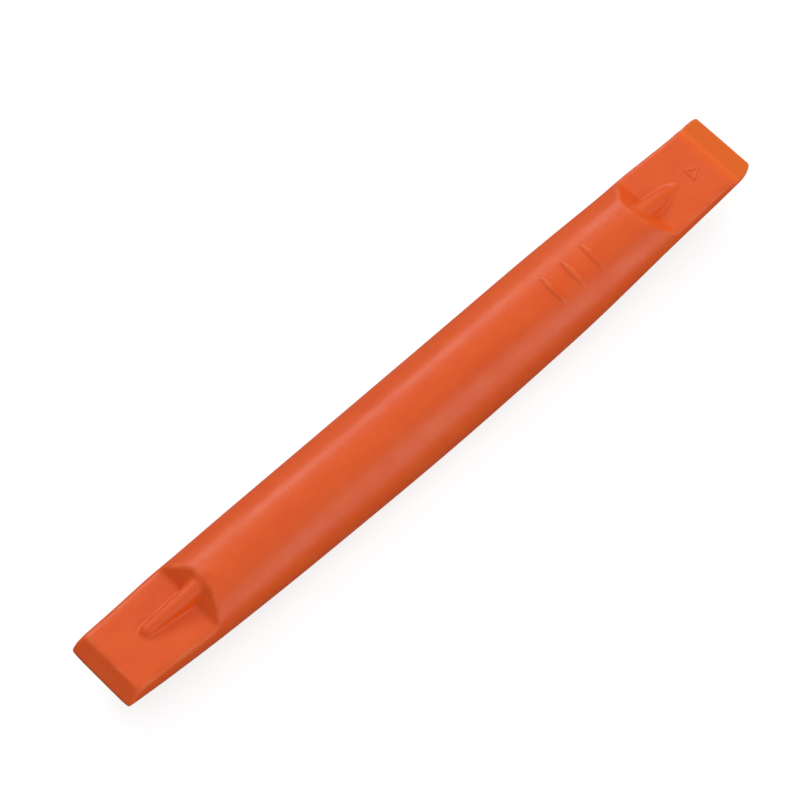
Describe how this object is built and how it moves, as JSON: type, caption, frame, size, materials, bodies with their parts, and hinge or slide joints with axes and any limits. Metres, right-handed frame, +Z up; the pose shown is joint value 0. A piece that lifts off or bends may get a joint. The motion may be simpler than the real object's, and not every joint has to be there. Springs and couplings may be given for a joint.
{
  "type": "spudger pry tool",
  "caption": "One-piece plastic pry tool for opening electronics housings: a domed grip between a bevelled wedge tip and a thin upturned lip, with a flat working pad and rib at each end.",
  "frame": {"origin": "centre of the bounding box in plan, on the flat under the belly", "axes": "+X runs from the wedge tip to the upturned lip, +Y across the tool, +Z up out of the working pads"},
  "size_m": [0.084, 0.0098, 0.0072],
  "materials": {
    "orange_nylon": "satin moulded"
  },
  "bodies": {
    "root": {"spudger_body": "orange_nylon"}
  },
  "joints": []
}
